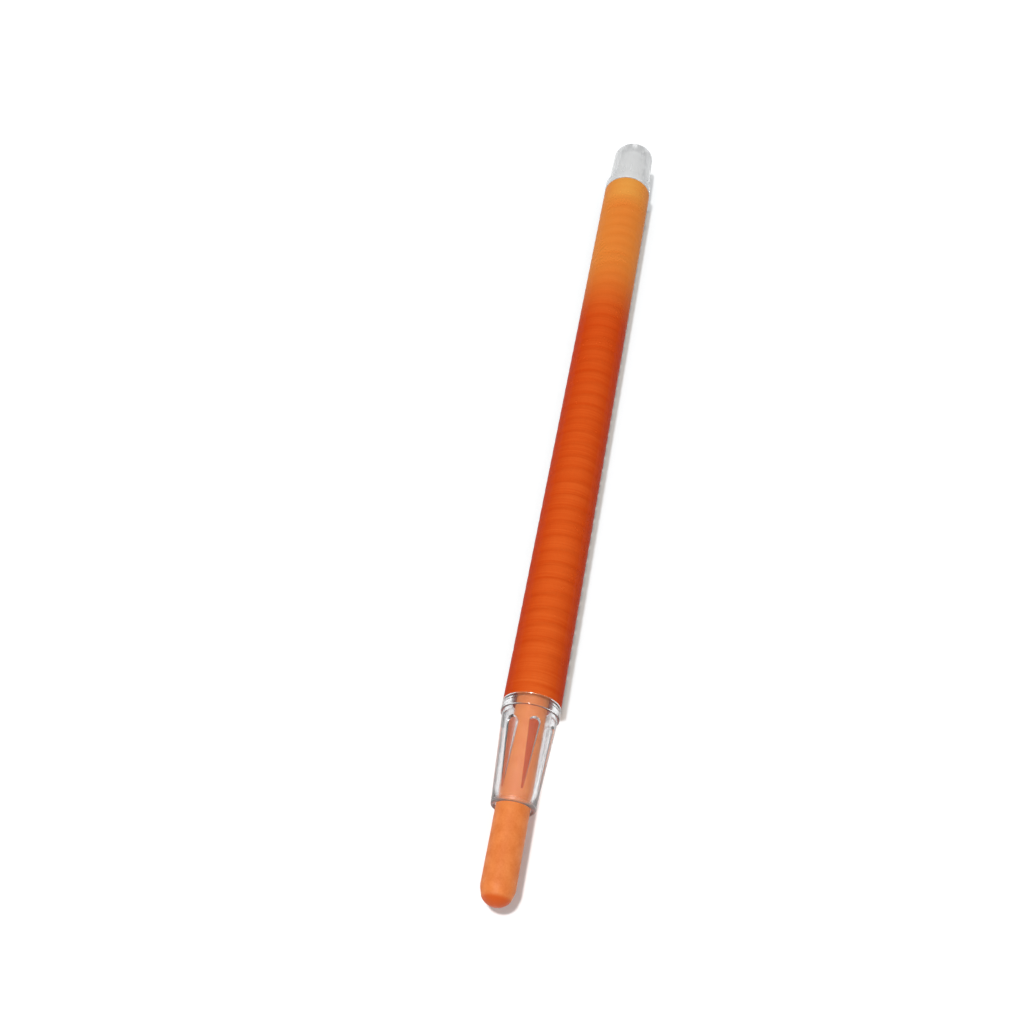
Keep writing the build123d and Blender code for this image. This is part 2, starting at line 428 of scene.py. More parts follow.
@dataclass(frozen=True)
class RibShadedPlastic(ClearPlastic):
    """Clear plastic with painted shade on its rib crests: a deep orange that stands in for the darker crayon
    seen through the ribs.
    """

    crests: Optional[RibCrests] = None
    # painted shade: deep orange on the rib crests, for the crayon seen darker through the ribs
    rib_shade: Colour = (0.46, 0.05, 0.002)
    rib_shade_height: float = 0.12 * MM
    rib_shade_blur: float = 0.08 * MM
    lip_front: float = 0.0
    lip_length: float = 1.2 * MM
    lip_dullness: float = 0.3

    def dullness(self, coat: Coating, effects: Effects) -> Wire:
        """Roughness of the plastic, rubbed dull towards the lip."""
        lip = coat.along(self.lip_front - self.lip_length, self.lip_front)
        return coat.graph.math("MULTIPLY_ADD", lip, self.lip_dullness, super().dullness(coat, effects))

    def body(self, coat: Coating, effects: Effects) -> Wire:
        """Colour of the plastic seen straight on, with the painted shade on the rib crests.

        Args:
            coat: The material being written.
            effects: Shared surface effects.

        Returns:
            The colour's socket.
        """
        graph = coat.graph
        ribs = self.crests
        place = graph.node("ShaderNodeSeparateXYZ", {0: coat.place}).outputs
        up = graph.math("SUBTRACT", place[2], AXIS_HEIGHT)
        aside = graph.math("MULTIPLY", place[1], -1.0)
        turn = graph.math("DIVIDE", graph.math("ARCTAN2", aside, up), TURN)
        past = graph.math("MULTIPLY", graph.math("SUBTRACT", turn, ribs.first_turn), float(ribs.count))
        off_rib = graph.math("MULTIPLY", graph.math("WRAP", past, 0.5, -0.5), TURN / ribs.count)
        radius = graph.math("SQRT", graph.math("MULTIPLY_ADD", up, up, graph.math("POWER", aside, 2.0)))
        offset = graph.math("ABSOLUTE", graph.math("MULTIPLY", radius, graph.math("SINE", off_rib)))
        height = graph.math("MULTIPLY", radius, graph.math("COSINE", off_rib))
        widths = (ribs.width_rear / 2, ribs.width_front / 2)
        half = graph.remap(place[0], (ribs.rear, ribs.front), widths)
        inside = graph.math("DIVIDE", graph.math("SUBTRACT", half, offset), self.rib_shade_blur)
        on_crest = graph.math("LESS_THAN", height, ribs.radius + self.rib_shade_height)
        on_rib = graph.math("MULTIPLY", on_crest, graph.math("LESS_THAN", place[0], ribs.front))
        # mask of the painted shade: the crest of each rib, softened at its sides
        mask = graph.math("MULTIPLY", on_rib, graph.math("ADD", inside, 0.5, use_clamp=True))
        return graph.blend(mask, super().body(coat, effects), self.rib_shade)


@dataclass(frozen=True)
class TintedPlastic:
    """See-through tinted plastic, rather cloudy, with fine rings, the spiral as deeper bands and painted
    shade deepening its outline.
    """

    name: str
    lead: float
    spiral_start: float
    fade_start: float
    fade_end: float
    collar_start: float
    collar_end: float
    pale: Colour = (0.78, 0.16, 0.026)
    deep: Colour = (0.61, 0.08, 0.007)
    faded_pale: Colour = (0.76, 0.235, 0.044)
    faded_deep: Colour = (0.62, 0.14, 0.016)
    collar_pale: Colour = (0.78, 0.50, 0.116)
    collar_deep: Colour = (0.70, 0.36, 0.068)
    # painted shade along the outline: deep red where the crayon fills the barrel, lighter behind it
    edge: Colour = (0.53, 0.035, 0.001)
    faded_outline_shade: Colour = (0.74, 0.24, 0.04)
    cloudiness: float = 0.8
    refraction: float = 1.02
    roughness: Point = (0.16, 0.3)
    coat_weight: float = 0.08
    coat_roughness: float = 0.1
    band_share: float = 0.25
    ring_share: float = 0.5
    cloud_share: float = 0.25
    empty_band_share: float = 0.35
    ring_depth: float = 0.004 * MM
    light_left: Colour = (0.6, 0.55, 0.5)

    def material(self, effects: Effects) -> bpy.types.Material:
        """Write the material.

        Args:
            effects: Shared surface effects.

        Returns:
            The finished material.
        """
        shader = {
            "IOR": self.refraction,
            "Transmission Weight": 1.0 - self.cloudiness,
            "Coat Weight": self.coat_weight,
            "Coat Roughness": self.coat_roughness,
        }
        coat = Coating(self.name, shader)
        graph = coat.graph
        clouds = coat.effect(effects.mottle, Clouds=120.0, Grains=1400.0)
        rings = coat.effect(effects.turning, Rings=3800.0, Drift=60.0)
        band = coat.effect(effects.spiral, Start=self.spiral_start, Lead=self.lead, Axis_Height=AXIS_HEIGHT)
        marks = graph.math("MULTIPLY", rings, self.ring_share)
        depth = graph.math("MULTIPLY_ADD", band, self.band_share, marks)
        share = graph.math("MULTIPLY_ADD", clouds, self.cloud_share, depth)
        fade = coat.along(self.fade_start, self.fade_end)
        full = graph.blend(share, self.pale, self.deep)
        wound = graph.math("MULTIPLY_ADD", band, self.empty_band_share, share)
        empty = graph.blend(wound, self.faded_pale, self.faded_deep)
        collar = graph.blend(share, self.collar_pale, self.collar_deep)
        faded = graph.blend(coat.along(self.collar_start, self.collar_end), empty, collar)
        # colour of the painted shade along the outline
        edge = graph.blend(fade, self.edge, self.faded_outline_shade)
        coat.paint_outline_shade(graph.blend(fade, full, faded), edge)
        coat.paint("Roughness", graph.remap(clouds, UNIT, self.roughness))
        coat.relief(rings, self.ring_depth)
        coat.let_light_in(self.light_left)
        return coat.material


@dataclass(frozen=True)
class MilkyPlastic:
    """Natural, milky plastic of the hidden moulded pieces."""

    name: str
    pale: Colour = (0.93, 0.93, 0.91)
    deep: Colour = (0.86, 0.86, 0.83)
    cloudiness: float = 0.3
    refraction: float = 1.49
    roughness: Point = (0.25, 0.4)
    flow_depth: float = 0.0024 * MM
    light_left: Colour = (0.95, 0.95, 0.94)

    def material(self, effects: Effects) -> bpy.types.Material:
        """Write the material.

        Args:
            effects: Shared surface effects.

        Returns:
            The finished material.
        """
        coat = Coating(self.name, {"IOR": self.refraction, "Transmission Weight": 1.0 - self.cloudiness})
        clouds = coat.effect(effects.mottle, Clouds=150.0, Grains=1200.0)
        coat.paint("Base Color", coat.graph.blend(clouds, self.pale, self.deep))
        coat.paint("Roughness", coat.graph.remap(clouds, UNIT, self.roughness))
        coat.relief(coat.effect(effects.turning, Rings=700.0, Drift=200.0), self.flow_depth)
        coat.let_light_in(self.light_left)
        return coat.material


@dataclass(frozen=True)
class MattePlastic:
    """Filled, matte moulded plastic."""

    name: str
    pale: Colour = (0.86, 0.86, 0.83)
    deep: Colour = (0.78, 0.78, 0.74)
    refraction: float = 1.49
    roughness: Point = (0.45, 0.6)
    grain_depth: float = 0.01 * MM

    def material(self, effects: Effects) -> bpy.types.Material:
        """Write the material.

        Args:
            effects: Shared surface effects.

        Returns:
            The finished material.
        """
        coat = Coating(self.name, {"IOR": self.refraction})
        clouds = coat.effect(effects.mottle, Clouds=300.0, Grains=2400.0)
        coat.paint("Base Color", coat.graph.blend(clouds, self.pale, self.deep))
        coat.paint("Roughness", coat.graph.remap(clouds, UNIT, self.roughness))
        coat.relief(clouds, self.grain_depth)
        return coat.material


@dataclass(frozen=True)
class Wax:
    """Coloured wax: matte, softly mottled, with a fine grain, drawing rings and painted shade that deepens
    its crown.
    """

    name: str
    crown_shade_start: float
    pale: Colour = (0.73, 0.222, 0.055)
    deep: Colour = (0.63, 0.155, 0.030)
    # painted shade: deeper orange on the tip's round face, for the shade it lies in
    crown: Colour = (0.56, 0.085, 0.007)
    crown_shade_blur: float = 0.35 * MM
    roughness: Point = (0.42, 0.62)
    grain_depth: float = 0.014 * MM
    ring_share: float = 0.2
    refraction: float = 1.44
    gloss: float = 0.25
    glow: float = 0.15
    glow_radius: Colour = (1.0, 0.4, 0.15)
    glow_depth: float = 0.4 * MM

    def material(self, effects: Effects) -> bpy.types.Material:
        """Write the material.

        Args:
            effects: Shared surface effects.

        Returns:
            The finished material.
        """
        shader = {
            "IOR": self.refraction,
            "Specular IOR Level": self.gloss,
            "Subsurface Weight": self.glow,
            "Subsurface Radius": self.glow_radius,
            "Subsurface Scale": self.glow_depth,
        }
        coat = Coating(self.name, shader)
        clouds = coat.effect(effects.mottle, Clouds=600.0, Grains=4200.0)
        rings = coat.effect(effects.turning, Rings=1800.0, Drift=500.0)
        body = coat.graph.blend(clouds, self.pale, self.deep)
        # painted shade on the crown, blended in across the crown's soft edge
        crown_shade_mask = coat.along(self.crown_shade_start - self.crown_shade_blur, self.crown_shade_start + self.crown_shade_blur)
        coat.paint("Base Color", coat.graph.blend(crown_shade_mask, body, self.crown))
        coat.paint("Roughness", coat.graph.remap(clouds, UNIT, self.roughness))
        coat.relief(coat.graph.math("MULTIPLY_ADD", rings, self.ring_share, clouds), self.grain_depth)
        return coat.material


@dataclass(frozen=True)
class Paper:
    """Pale, even floor."""

    name: str
    pale: Colour = (0.93, 0.93, 0.93)
    deep: Colour = (0.91, 0.91, 0.91)
    roughness: float = 0.9
    gloss: float = 0.1

    def material(self, effects: Effects) -> bpy.types.Material:
        """Write the material.

        Args:
            effects: Shared surface effects.

        Returns:
            The finished material.
        """
        coat = Coating(self.name, {"Roughness": self.roughness, "Specular IOR Level": self.gloss})
        clouds = coat.effect(effects.mottle, Clouds=12.0, Grains=400.0)
        coat.paint("Base Color", coat.graph.blend(clouds, self.pale, self.deep))
        return coat.material


@dataclass(frozen=True)
class Corner:
    """Corner of a lengthwise outline, with the run that follows it."""

    station: float
    radius: float
    rounding: float = 0.0
    step: float = 0.0
    pattern: float = 0.0


def softened(corner: Vector, before: Vector, after: Vector, rounding: float) -> list[Vector]:
    """Replace a corner by an arc.

    Args:
        corner: The corner.
        before: The corner before it.
        after: The corner after it.
        rounding: Radius of the arc, 0 to keep the corner.

    Returns:
        The points that stand for the corner.
    """
    if rounding == 0.0:
        return [corner]
    back = (before - corner).normalized()
    ahead = (after - corner).normalized()
    half = back.angle(ahead) / 2
    reach = rounding / math.tan(half)
    centre = corner + (back + ahead).normalized() * rounding / math.sin(half)
    first = corner + back * reach - centre
    last = corner + ahead * reach - centre
    return [centre + first.slerp(last, step / ARC_STEPS) * rounding for step in range(ARC_STEPS + 1)]


def outline_mesh(name: str, corners: Sequence[Corner], closed: bool) -> bpy.types.Mesh:
    """Make an outline's points and edges, stations along X and radii along Y.

    Args:
        name: Name of the mesh.
        corners: Corners in order.
        closed: Whether the last corner runs back to the first.

    Returns:
        A mesh of edges, with the weight of the surface pattern on its points.
    """
    places = [Vector((corner.station, corner.radius, 0.0)) for corner in corners]
    count = len(corners)
    points: list[Vector] = []
    weights: list[float] = []
    for index, corner in enumerate(corners):
        arc = softened(places[index], places[index - 1], places[(index + 1) % count], corner.rounding)
        points.extend(arc)
        weights.extend([0.0] * len(arc))
        if corner.step and index + 1 < count:
            run = places[index + 1] - points[-1]
            rows = math.ceil(run.length / corner.step)
            start = points[-1].copy()
            points.extend(start + run * row / rows for row in range(1, rows))
            weights.extend([corner.pattern] * (rows - 1))
    edges = [(index, index + 1) for index in range(len(points) - 1)]
    if closed:
        edges.append((len(points) - 1, 0))
    mesh = bpy.data.meshes.new(name)
    mesh.from_pydata(points, edges, [])
    mesh.attributes.new("pattern", "FLOAT", "POINT").data.foreach_set("value", weights)
    return mesh


def hull_mesh(name: str, corners: Sequence[Vector]) -> bpy.types.Mesh:
    """Make the closed solid that wraps some corners.

    Args:
        name: Name of the mesh.
        corners: Corners of a solid without hollows.

    Returns:
        The solid's mesh, its faces outwards.
    """
    solid = bmesh.new()
    wrapped = [solid.verts.new(corner) for corner in corners]
    bmesh.ops.convex_hull(solid, input=wrapped)
    bmesh.ops.recalc_face_normals(solid, faces=solid.faces)
    mesh = bpy.data.meshes.new(name)
    solid.to_mesh(mesh)
    solid.free()
    return mesh


class Workshop:
    """Geometry-node trees that form the pieces, and the steps that run them."""

    WELD = 0.0005 * MM
    SHARP = math.radians(38)
    CLEAR_SHARP = math.radians(25)
    SCREW_SEGMENTS = 48
    DIP_FALL = -4.0
    PLAIN_SWEEP = {"Weld": WELD, "Dip Lead": MM, "Dip Width": MM}

    def __init__(self) -> None:
        """Build both trees."""
        self.sweep_tree = self._screw_sweep()
        self.round_tree = self._set_round()

    @staticmethod
    def _close(graph: Graph, geometry: Wire, material: Wire) -> bpy.types.NodeTree:
        """End a tree with real geometry in its material.

        Args:
            graph: Writer of the tree.
            geometry: What the tree has made.
            material: The material.

        Returns:
            The finished tree.
        """
        real = graph.node("GeometryNodeRealizeInstances", {"Geometry": geometry}).outputs[0]
        dressed = graph.node("GeometryNodeSetMaterial", {"Geometry": real, "Material": material})
        graph.node("NodeGroupOutput", {"Geometry": dressed.outputs[0]})
        return graph.tree

    def _screw_sweep(self) -> bpy.types.NodeTree:
        """Tree that turns an outline about the crayon's axis, level or along a screw.

        Returns:
            The tree. Where the outline's pattern weighs, the radius follows a spiral dip and a grain.
        """
        inputs = {"Geometry": Socket.GEOMETRY, "Segments": Socket.INT, "Caps": Socket.BOOL}
        sizes = ["Axis Height", "Turns", "Lead", "Weld", "Grain Depth", "Grain Scale"]
        dip_sizes = ["Dip Depth", "Dip Width", "Dip Lead", "Dip Start"]
        inputs.update(dict.fromkeys(sizes + dip_sizes, Socket.FLOAT))
        inputs["Material"] = Socket.MATERIAL
        graph = new_tree("screw_sweep", Tree.GEOMETRY, inputs, {"Geometry": Socket.GEOMETRY})
        entry = graph.node("NodeGroupInput").outputs
        profile = graph.node("GeometryNodeMeshToCurve", {"Mesh": entry["Geometry"]})
        held = graph.node("GeometryNodeCaptureAttribute")
        held.capture_items.new("VECTOR", "Place")
        graph.feed(held.inputs["Geometry"], profile.outputs[0])
        graph.feed(held.inputs["Place"], graph.node("GeometryNodeInputPosition").outputs[0])
        steps = graph.math("MULTIPLY", entry["Turns"], entry["Segments"])
        count = graph.math("ADD", graph.math("ROUND", steps), 1.0)
        path_line = graph.node("GeometryNodeMeshLine", {"Count": count})
        path = graph.node("GeometryNodeMeshToCurve", {"Mesh": path_line.outputs[0]})
        timed = graph.node("GeometryNodeCaptureAttribute")
        timed.capture_items.new("FLOAT", "Turn")
        graph.feed(timed.inputs["Geometry"], path.outputs[0])
        index = graph.node("GeometryNodeInputIndex").outputs[0]
        share = graph.math("DIVIDE", index, graph.math("SUBTRACT", count, 1.0))
        graph.feed(timed.inputs["Turn"], graph.math("MULTIPLY", share, entry["Turns"]))
        swept = graph.node(
            "GeometryNodeCurveToMesh",
            {"Curve": timed.outputs[0], "Profile Curve": held.outputs[0], "Fill Caps": entry["Caps"]},
        )
        place = graph.node("ShaderNodeSeparateXYZ", {0: held.outputs["Place"]}).outputs
        turn = timed.outputs["Turn"]
        angle = graph.math("MULTIPLY", turn, TURN)
        station = graph.math("MULTIPLY_ADD", turn, entry["Lead"], place[0])
        pattern = graph.node("GeometryNodeInputNamedAttribute", {"Name": "pattern"}).outputs[0]
        past = graph.math("DIVIDE", graph.math("SUBTRACT", station, entry["Dip Start"]), entry["Dip Lead"])
        phase = graph.math("WRAP", graph.math("SUBTRACT", past, turn), 0.5, -0.5)
        offset = graph.math("DIVIDE", graph.math("MULTIPLY", phase, entry["Dip Lead"]), entry["Dip Width"])
        fall = graph.math("MULTIPLY", graph.math("POWER", offset, 2.0), self.DIP_FALL)
        hollow = graph.math("EXPONENT", fall)
        sine = graph.math("SINE", angle)
        cosine = graph.math("COSINE", angle)
        across = [graph.math("MULTIPLY", part, place[1]) for part in (sine, cosine)]
        ring = graph.node("ShaderNodeCombineXYZ", {0: station, 1: across[0], 2: across[1]})
        noise = graph.noise(ring.outputs[0], entry["Grain Scale"], detail=2.0)
        grain = graph.math("MULTIPLY", graph.math("SUBTRACT", noise, 0.5), entry["Grain Depth"])
        change = graph.math("SUBTRACT", grain, graph.math("MULTIPLY", hollow, entry["Dip Depth"]))
        radius = graph.math("MULTIPLY_ADD", change, pattern, place[1])
        aside = graph.math("MULTIPLY", graph.math("MULTIPLY", sine, radius), -1.0)
        rise = graph.math("MULTIPLY_ADD", cosine, radius, entry["Axis Height"])
        spot = graph.node("ShaderNodeCombineXYZ", {0: station, 1: aside, 2: rise})
        formed = graph.node("GeometryNodeFlipFaces", {"Mesh": swept.outputs[0]}).outputs[0]
        for kind, feeds in (
            ("GeometryNodeSetPosition", {"Position": spot.outputs[0]}),
            ("GeometryNodeMergeByDistance", {"Distance": entry["Weld"]}),
            ("GeometryNodeRemoveAttribute", {"Name": "pattern"}),
        ):
            formed = graph.node(kind, {"Geometry": formed, **feeds}).outputs[0]
        return self._close(graph, formed, entry["Material"])

    def _set_round(self) -> bpy.types.NodeTree:
        """Tree that sets copies of a tool round the crayon's axis and joins them to a piece or carves them.

        Returns:
            The tree.
        """
        inputs = {
            "Geometry": Socket.GEOMETRY,
            "Tool": Socket.OBJECT,
            "Count": Socket.INT,
            "First Turn": Socket.FLOAT,
            "Axis Height": Socket.FLOAT,
            "Carve": Socket.BOOL,
            "Material": Socket.MATERIAL,
        }
        graph = new_tree("set_round", Tree.GEOMETRY, inputs, {"Geometry": Socket.GEOMETRY})
        entry = graph.node("NodeGroupInput").outputs
        tool = graph.node("GeometryNodeObjectInfo", {"Object": entry["Tool"]}).outputs["Geometry"]
        axis = graph.node("ShaderNodeCombineXYZ", {2: entry["Axis Height"]})
        points = graph.node("GeometryNodePoints", {"Count": entry["Count"], "Position": axis.outputs[0]})
        share = graph.math("DIVIDE", graph.node("GeometryNodeInputIndex").outputs[0], entry["Count"])
        angle = graph.math("MULTIPLY", graph.math("ADD", share, entry["First Turn"]), TURN)
        turned = graph.node("FunctionNodeAxisAngleToRotation", {"Axis": (1.0, 0.0, 0.0), "Angle": angle})
        copies = graph.node(
            "GeometryNodeInstanceOnPoints",
            {"Points": points.outputs[0], "Instance": tool, "Rotation": turned.outputs[0]},
        )
        tools = graph.node("GeometryNodeRealizeInstances", {"Geometry": copies.outputs[0]}).outputs[0]
        carved = graph.node("GeometryNodeMeshBoolean", operation="DIFFERENCE", solver="MANIFOLD")
        graph.feed(carved.inputs["Mesh 1"], entry["Geometry"])
        graph.feed(carved.inputs["Mesh 2"], tools)
        joined = graph.node("GeometryNodeMeshBoolean", operation="UNION", solver="MANIFOLD")
        graph.feed(joined.inputs["Mesh 2"], entry["Geometry"])
        graph.feed(joined.inputs["Mesh 2"], tools)
        chosen = graph.node(
            "GeometryNodeSwitch",
            {"Switch": entry["Carve"], "False": joined.outputs[0], "True": carved.outputs[0]},
        )
        return self._close(graph, chosen.outputs[0], entry["Material"])

    @staticmethod
    def _run(name: str, mesh: bpy.types.Mesh, tree: bpy.types.NodeTree, values: dict) -> bpy.types.Mesh:
        """Run a tree on a mesh.

        Args:
            name: Name of the result.
            mesh: What goes in.
            tree: The tree.
            values: Its inputs by name.

        Returns:
            The result as a plain mesh.
        """
        holder = bpy.data.objects.new(name, mesh)
        bpy.context.scene.collection.objects.link(holder)
        modifier = holder.modifiers.new("form", "NODES")
        modifier.node_group = tree
        for item in tree.interface.items_tree:
            if item.item_type == "SOCKET" and item.in_out == "INPUT" and item.name in values:
                modifier[item.identifier] = values[item.name]
        holder.update_tag()
        depsgraph = bpy.context.evaluated_depsgraph_get()
        formed = bpy.data.meshes.new_from_object(holder.evaluated_get(depsgraph), depsgraph=depsgraph)
        formed.name = name
        bpy.data.objects.remove(holder)
        bpy.data.meshes.remove(mesh)
        return formed

    def turned(
        self,
        name: str,
        corners: Sequence[Corner],
        material: bpy.types.Material,
        closed: bool = True,
        segments: int = 96,
        **pattern: float,
    ) -> bpy.types.Mesh:
        """Turn an outline about the crayon's axis.

        Args:
            name: Name of the mesh.
            corners: The outline's corners.
            material: Its material.
            closed: Whether the outline closes on itself, and doesn't end on the axis.
            segments: Faces round the axis.
            **pattern: Sizes of the surface pattern, named as the tree's inputs.

        Returns:
            The turned mesh.
        """
        values = {**self.PLAIN_SWEEP, "Segments": segments, "Turns": 1.0, "Lead": 0.0, "Caps": False}
        values.update({"Axis Height": AXIS_HEIGHT, "Material": material})
        values.update({key.replace("_", " ").title(): value for key, value in pattern.items()})
        return self._run(name, outline_mesh(name + "_outline", corners, closed), self.sweep_tree, values)

    def screw(
        self, name: str, corners: Sequence[Corner], material: bpy.types.Material, lead: float, turns: float
    ) -> bpy.types.Mesh:
        """Sweep a closed outline along a screw about the axis, which lies on height 0.

        Args:
            name: Name of the mesh.
            corners: The outline at the screw's start.
            material: Its material.
            lead: Travel along the axis for each turn.
            turns: Number of turns.

        Returns:
            The swept mesh, capped at both ends.
        """
        values = {**self.PLAIN_SWEEP, "Segments": self.SCREW_SEGMENTS, "Turns": turns, "Lead": lead}
        values.update({"Caps": True, "Axis Height": 0.0, "Material": material})
        return self._run(name, outline_mesh(name + "_outline", corners, True), self.sweep_tree, values)

    def set_round(
        self,
        base: bpy.types.Mesh,
        tool: bpy.types.Mesh,
        fit: Fit,
        material: bpy.types.Material,
        count: int = 1,
        first_turn: float = 0.0,
    ) -> bpy.types.Mesh:
        """Set copies of a tool round the axis and join them to a piece or carve them from it.

        Args:
            base: The piece.
            tool: The tool, with the axis on height 0.
            fit: Whether the tools are joined or carved.
            material: Material of the result.
            count: Number of copies.
            first_turn: Place of the first copy, as a share of a turn from straight up.

        Returns:
            The finished mesh.
        """
        name = base.name
        carrier = bpy.data.objects.new(name + "_tool", tool)
        values = {"Tool": carrier, "Count": count, "First Turn": first_turn}
        values.update({"Axis Height": AXIS_HEIGHT, "Carve": fit.value, "Material": material})
        made = self._run(name, base, self.round_tree, values)
        bpy.data.objects.remove(carrier)
        bpy.data.meshes.remove(tool)
        return made

    def place(
        self, mesh: bpy.types.Mesh, name: str, node: str, body: Body, slot: Slot, sharp: float = SHARP
    ) -> None:
        """Finish a mesh and put it in place of a frame node.

        Args:
            mesh: The formed mesh.
            name: Name of the piece.
            node: The frame node that it stands for.
            body: The body that it rides on.
            slot: The record's material slot; not used.
            sharp: Angle past which an edge is drawn sharp.
        """
        solid = bmesh.new()
        solid.from_mesh(mesh)
        bmesh.ops.remove_doubles(solid, verts=solid.verts, dist=self.WELD)
        bmesh.ops.dissolve_degenerate(solid, edges=solid.edges, dist=self.WELD)
        bmesh.ops.recalc_face_normals(solid, faces=solid.faces)
        solid.to_mesh(mesh)
        solid.free()
        mesh.shade_smooth()
        mesh.set_sharp_from_angle(angle=sharp)
        piece = bpy.data.objects.new(name, mesh)
        bpy.context.scene.collection.objects.link(piece)
        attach(piece, body.value)
        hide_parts(node)
        log.info("%s: %d faces in place of %s", name, len(mesh.polygons), node)


def span(node: str) -> tuple[float, float, float]:
    """Measure a frame node's rear and front stations and its largest radius."""
    low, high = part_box(node)
    return low.x, high.x, high.z - AXIS_HEIGHT


@dataclass
class Barrel:
    """Tinted barrel: drafted tube, snap groove behind, spiral ridge inside, sink marks outside."""

    wall_rear: float = 0.8 * MM
    draft: float = 0.15 * MM
    rim_rounding: float = 0.2 * MM
    groove_centre: float = 5.0 * MM
    groove_length: float = 1.3 * MM
    groove_depth: float = 0.25 * MM
    lead: float = 2.8 * MM
    ridge_rear: float = 8.7 * MM
    ridge_front: float = 6.75 * MM
    ridge_depth: float = 0.55 * MM
    ridge_crest: float = 0.5 * MM
    ridge_base: float = 0.9 * MM
    ridge_foot: float = 0.15 * MM
    sink_depth: float = 0.03 * MM
    sink_width: float = 0.9 * MM
    rows_per_lead: int = 12
    fade_ahead: float = 16.0 * MM
    fade_behind: float = 5.0 * MM
    collar_length: float = 6.0 * MM
    collar_blur: float = 2.5 * MM

    def finish(self) -> TintedPlastic:
        """Finish whose bands follow the ridge and which pales behind the crayon.

        Returns:
            The barrel's finish.
        """
        rear = span("barrel")[0]
        empty = span("crayon_stick")[0]
        return TintedPlastic(
            "orange_barrel",
            lead=self.lead,
            spiral_start=rear + self.ridge_rear,
            fade_start=empty + self.fade_ahead,
            fade_end=empty - self.fade_behind,
            collar_start=rear + self.collar_length + self.collar_blur,
            collar_end=rear + self.collar_length - self.collar_blur,
        )

    def build(self, workshop: Workshop, material: bpy.types.Material) -> None:
        """Form the barrel and put it in place.

        Args:
            workshop: The forming trees.
            material: The barrel's finish.
        """
        rear, front, radius = span("barrel")
        bore = radius - self.wall_rear
        nose_radius = radius - self.draft
        start = rear + self.ridge_rear
        end = front - self.ridge_front
        slope = -self.draft / (front - rear)
        groove_rear = rear + self.groove_centre - self.groove_length / 2
        groove_front = groove_rear + self.groove_length
        corners = [
            Corner(rear, bore),
            Corner(rear, radius, self.rim_rounding),
            Corner(start, radius + slope * (start - rear), step=self.lead / self.rows_per_lead, pattern=1.0),
            Corner(end, radius + slope * (end - rear)),
            Corner(front, nose_radius, self.rim_rounding),
            Corner(front, bore),
            Corner(groove_front, bore),
            Corner(groove_front, bore + self.groove_depth),
            Corner(groove_rear, bore + self.groove_depth),
            Corner(groove_rear, bore),
        ]
        tube = workshop.turned(
            "barrel_tube",
            corners,
            material,
            dip_depth=self.sink_depth,
            dip_width=self.sink_width,
            dip_lead=self.lead,
            dip_start=start,
        )
        spread = (self.ridge_base - self.ridge_crest) * self.ridge_foot / self.ridge_depth
        foot = self.ridge_base + spread
        ridge_corners = [
            Corner(start - self.ridge_crest / 2, bore - self.ridge_depth),
            Corner(start - foot / 2, bore + self.ridge_foot),
            Corner(start + foot / 2, bore + self.ridge_foot),
            Corner(start + self.ridge_crest / 2, bore - self.ridge_depth),
        ]
        turns = (end - start) / self.lead
        ridge = workshop.screw("spiral_ridge", ridge_corners, material, self.lead, turns)
        made = workshop.set_round(tube, ridge, Fit.JOIN, material)
        workshop.place(made, "tinted_barrel", "barrel", Body.BARREL, Slot.BARREL)


